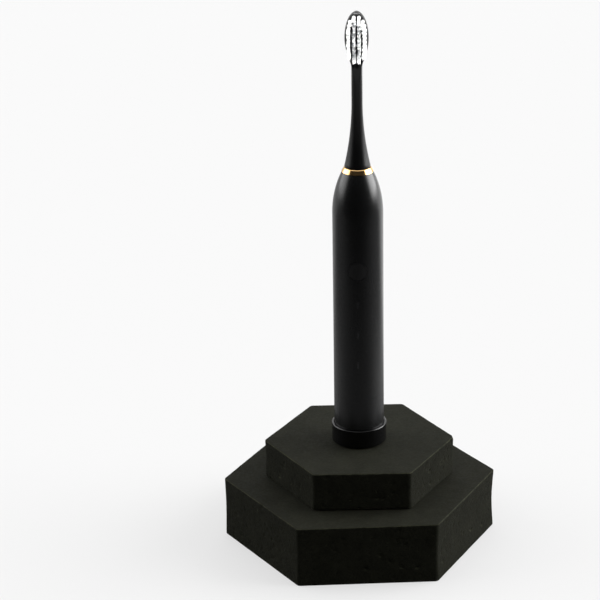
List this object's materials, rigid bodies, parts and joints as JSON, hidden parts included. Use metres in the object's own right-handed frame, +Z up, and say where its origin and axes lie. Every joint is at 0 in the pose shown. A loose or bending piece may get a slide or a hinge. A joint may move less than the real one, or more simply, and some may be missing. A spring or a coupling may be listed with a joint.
{
  "type": "electric toothbrush on charger",
  "caption": "Slim electric toothbrush standing upright in a low round charging cup, raised on a stepped hexagonal plinth of foam slabs.",
  "frame": {"origin": "centre of the plinth's underside", "axes": "+Z up along the brush, -Y to the front, the way the bristles and the button face, +X to the right seen from the front"},
  "size_m": [0.1506, 0.1376, 0.3008],
  "materials": {
    "foam": "cut closed-cell foam, black with an olive cast, matt",
    "bond": "black bonding sheet",
    "cup_plastic": "black, glossy",
    "black_rubber": "black silicone, matt",
    "steel": "bright stainless",
    "ferrite": "dark grey, dull",
    "copper_wire": "enamelled copper wire",
    "board_green": "green solder mask",
    "chip_black": "moulded black",
    "nickel": "nickel plated",
    "tongue_black": "moulded black",
    "handle_black": "black soft-touch coat, satin",
    "button_black": "black, satin",
    "gold": "polished gold plating",
    "window_smoke": "smoked, glossy",
    "clear_guide": "clear moulding",
    "plunger_white": "natural white",
    "cap_black": "black, satin",
    "bobbin_white": "natural white",
    "chassis_white": "natural white",
    "cell_wrap": "steel can in a blue sleeve",
    "led_cream": "cream resin",
    "lead_red": "red sleeving",
    "motor_steel": "drawn steel",
    "bronze": "sintered bronze",
    "core_steel": "laminated core steel, lacquered",
    "magnet": "magnet, black coat",
    "head_black": "black, satin gloss",
    "socket_ivory": "natural ivory",
    "bristle_white": "white nylon bristle",
    "bristle_grey": "grey nylon bristle",
    "anchor_brass": "brass"
  },
  "bodies": {
    "plinth": {"lower_tier": "foam", "upper_tier": "foam", "tier_bond": "bond"},
    "charging_cup": {"charger_cup": "cup_plastic", "charger_cover": "cup_plastic", "charger_foot": "black_rubber", "charger_screws": "steel", "charger_core": "ferrite", "charger_coil": "copper_wire", "charger_board": "board_green", "charger_chips": "chip_black", "usb_shell": "nickel", "usb_tongue": "tongue_black"},
    "handle": {"handle_shell": "handle_black", "accent_ring": "gold", "mode_windows": "window_smoke", "light_guide": "clear_guide", "button_seal": "black_rubber", "switch_body": "chip_black", "bottom_cap": "cap_black", "cap_seal": "black_rubber", "coil_bobbin": "bobbin_white", "pickup_coil": "copper_wire", "coil_leads": "lead_red", "chassis": "chassis_white", "battery_cell": "cell_wrap", "battery_tabs": "nickel", "battery_pads": "black_rubber", "main_board": "board_green", "board_chips": "chip_black", "mode_lights": "led_cream", "board_screws": "steel", "motor_leads": "lead_red", "motor_case": "motor_steel", "motor_end_plate": "motor_steel", "rear_bush": "bronze", "front_bush": "bronze", "stator_poles": "core_steel", "stator_coils": "copper_wire", "motor_damper": "black_rubber", "gland_seal": "black_rubber", "gland_clamp": "steel"},
    "button": {"power_button": "button_black"},
    "plunger": {"switch_plunger": "plunger_white"},
    "rotor": {"drive_shaft": "steel", "rotor_yoke": "core_steel", "rotor_magnets": "magnet", "shaft_clip": "steel"},
    "brush_head": {"head_body": "head_black", "head_socket": "socket_ivory", "socket_spring": "steel", "outer_tufts": "bristle_white", "inner_tufts": "bristle_grey", "tuft_anchors": "anchor_brass"}
  },
  "joints": [
    {"name": "cup_lift", "type": "slide", "parent": "plinth", "child": "charging_cup", "axis": [0, 0, 1], "range_m": [0, 0.03]},
    {"name": "brush_lift", "type": "slide", "parent": "charging_cup", "child": "handle", "axis": [0, 0, 1], "range_m": [0, 0.05]},
    {"name": "button_press", "type": "slide", "parent": "handle", "child": "button", "axis": [0, 1, 0], "range_m": [0, 0.0005], "stiffness_N_per_m": 3000, "springref_m": -0.0003},
    {"name": "plunger_press", "type": "slide", "parent": "handle", "child": "plunger", "axis": [0, 1, 0], "range_m": [0, 0.0005]},
    {"name": "shaft_swing", "type": "hinge", "parent": "handle", "child": "rotor", "pos_m": [0, 0, 0], "axis": [0, 0, 1], "range_deg": [-4, 4], "stiffness_Nm_per_rad": 0.5},
    {"name": "head_pull", "type": "slide", "parent": "rotor", "child": "brush_head", "axis": [0, 0, 1], "range_m": [0, 0.024]}
  ],
  "couplings": [
    {"joint": "plunger_press", "follows": "button_press", "ratio": 1}
  ]
}
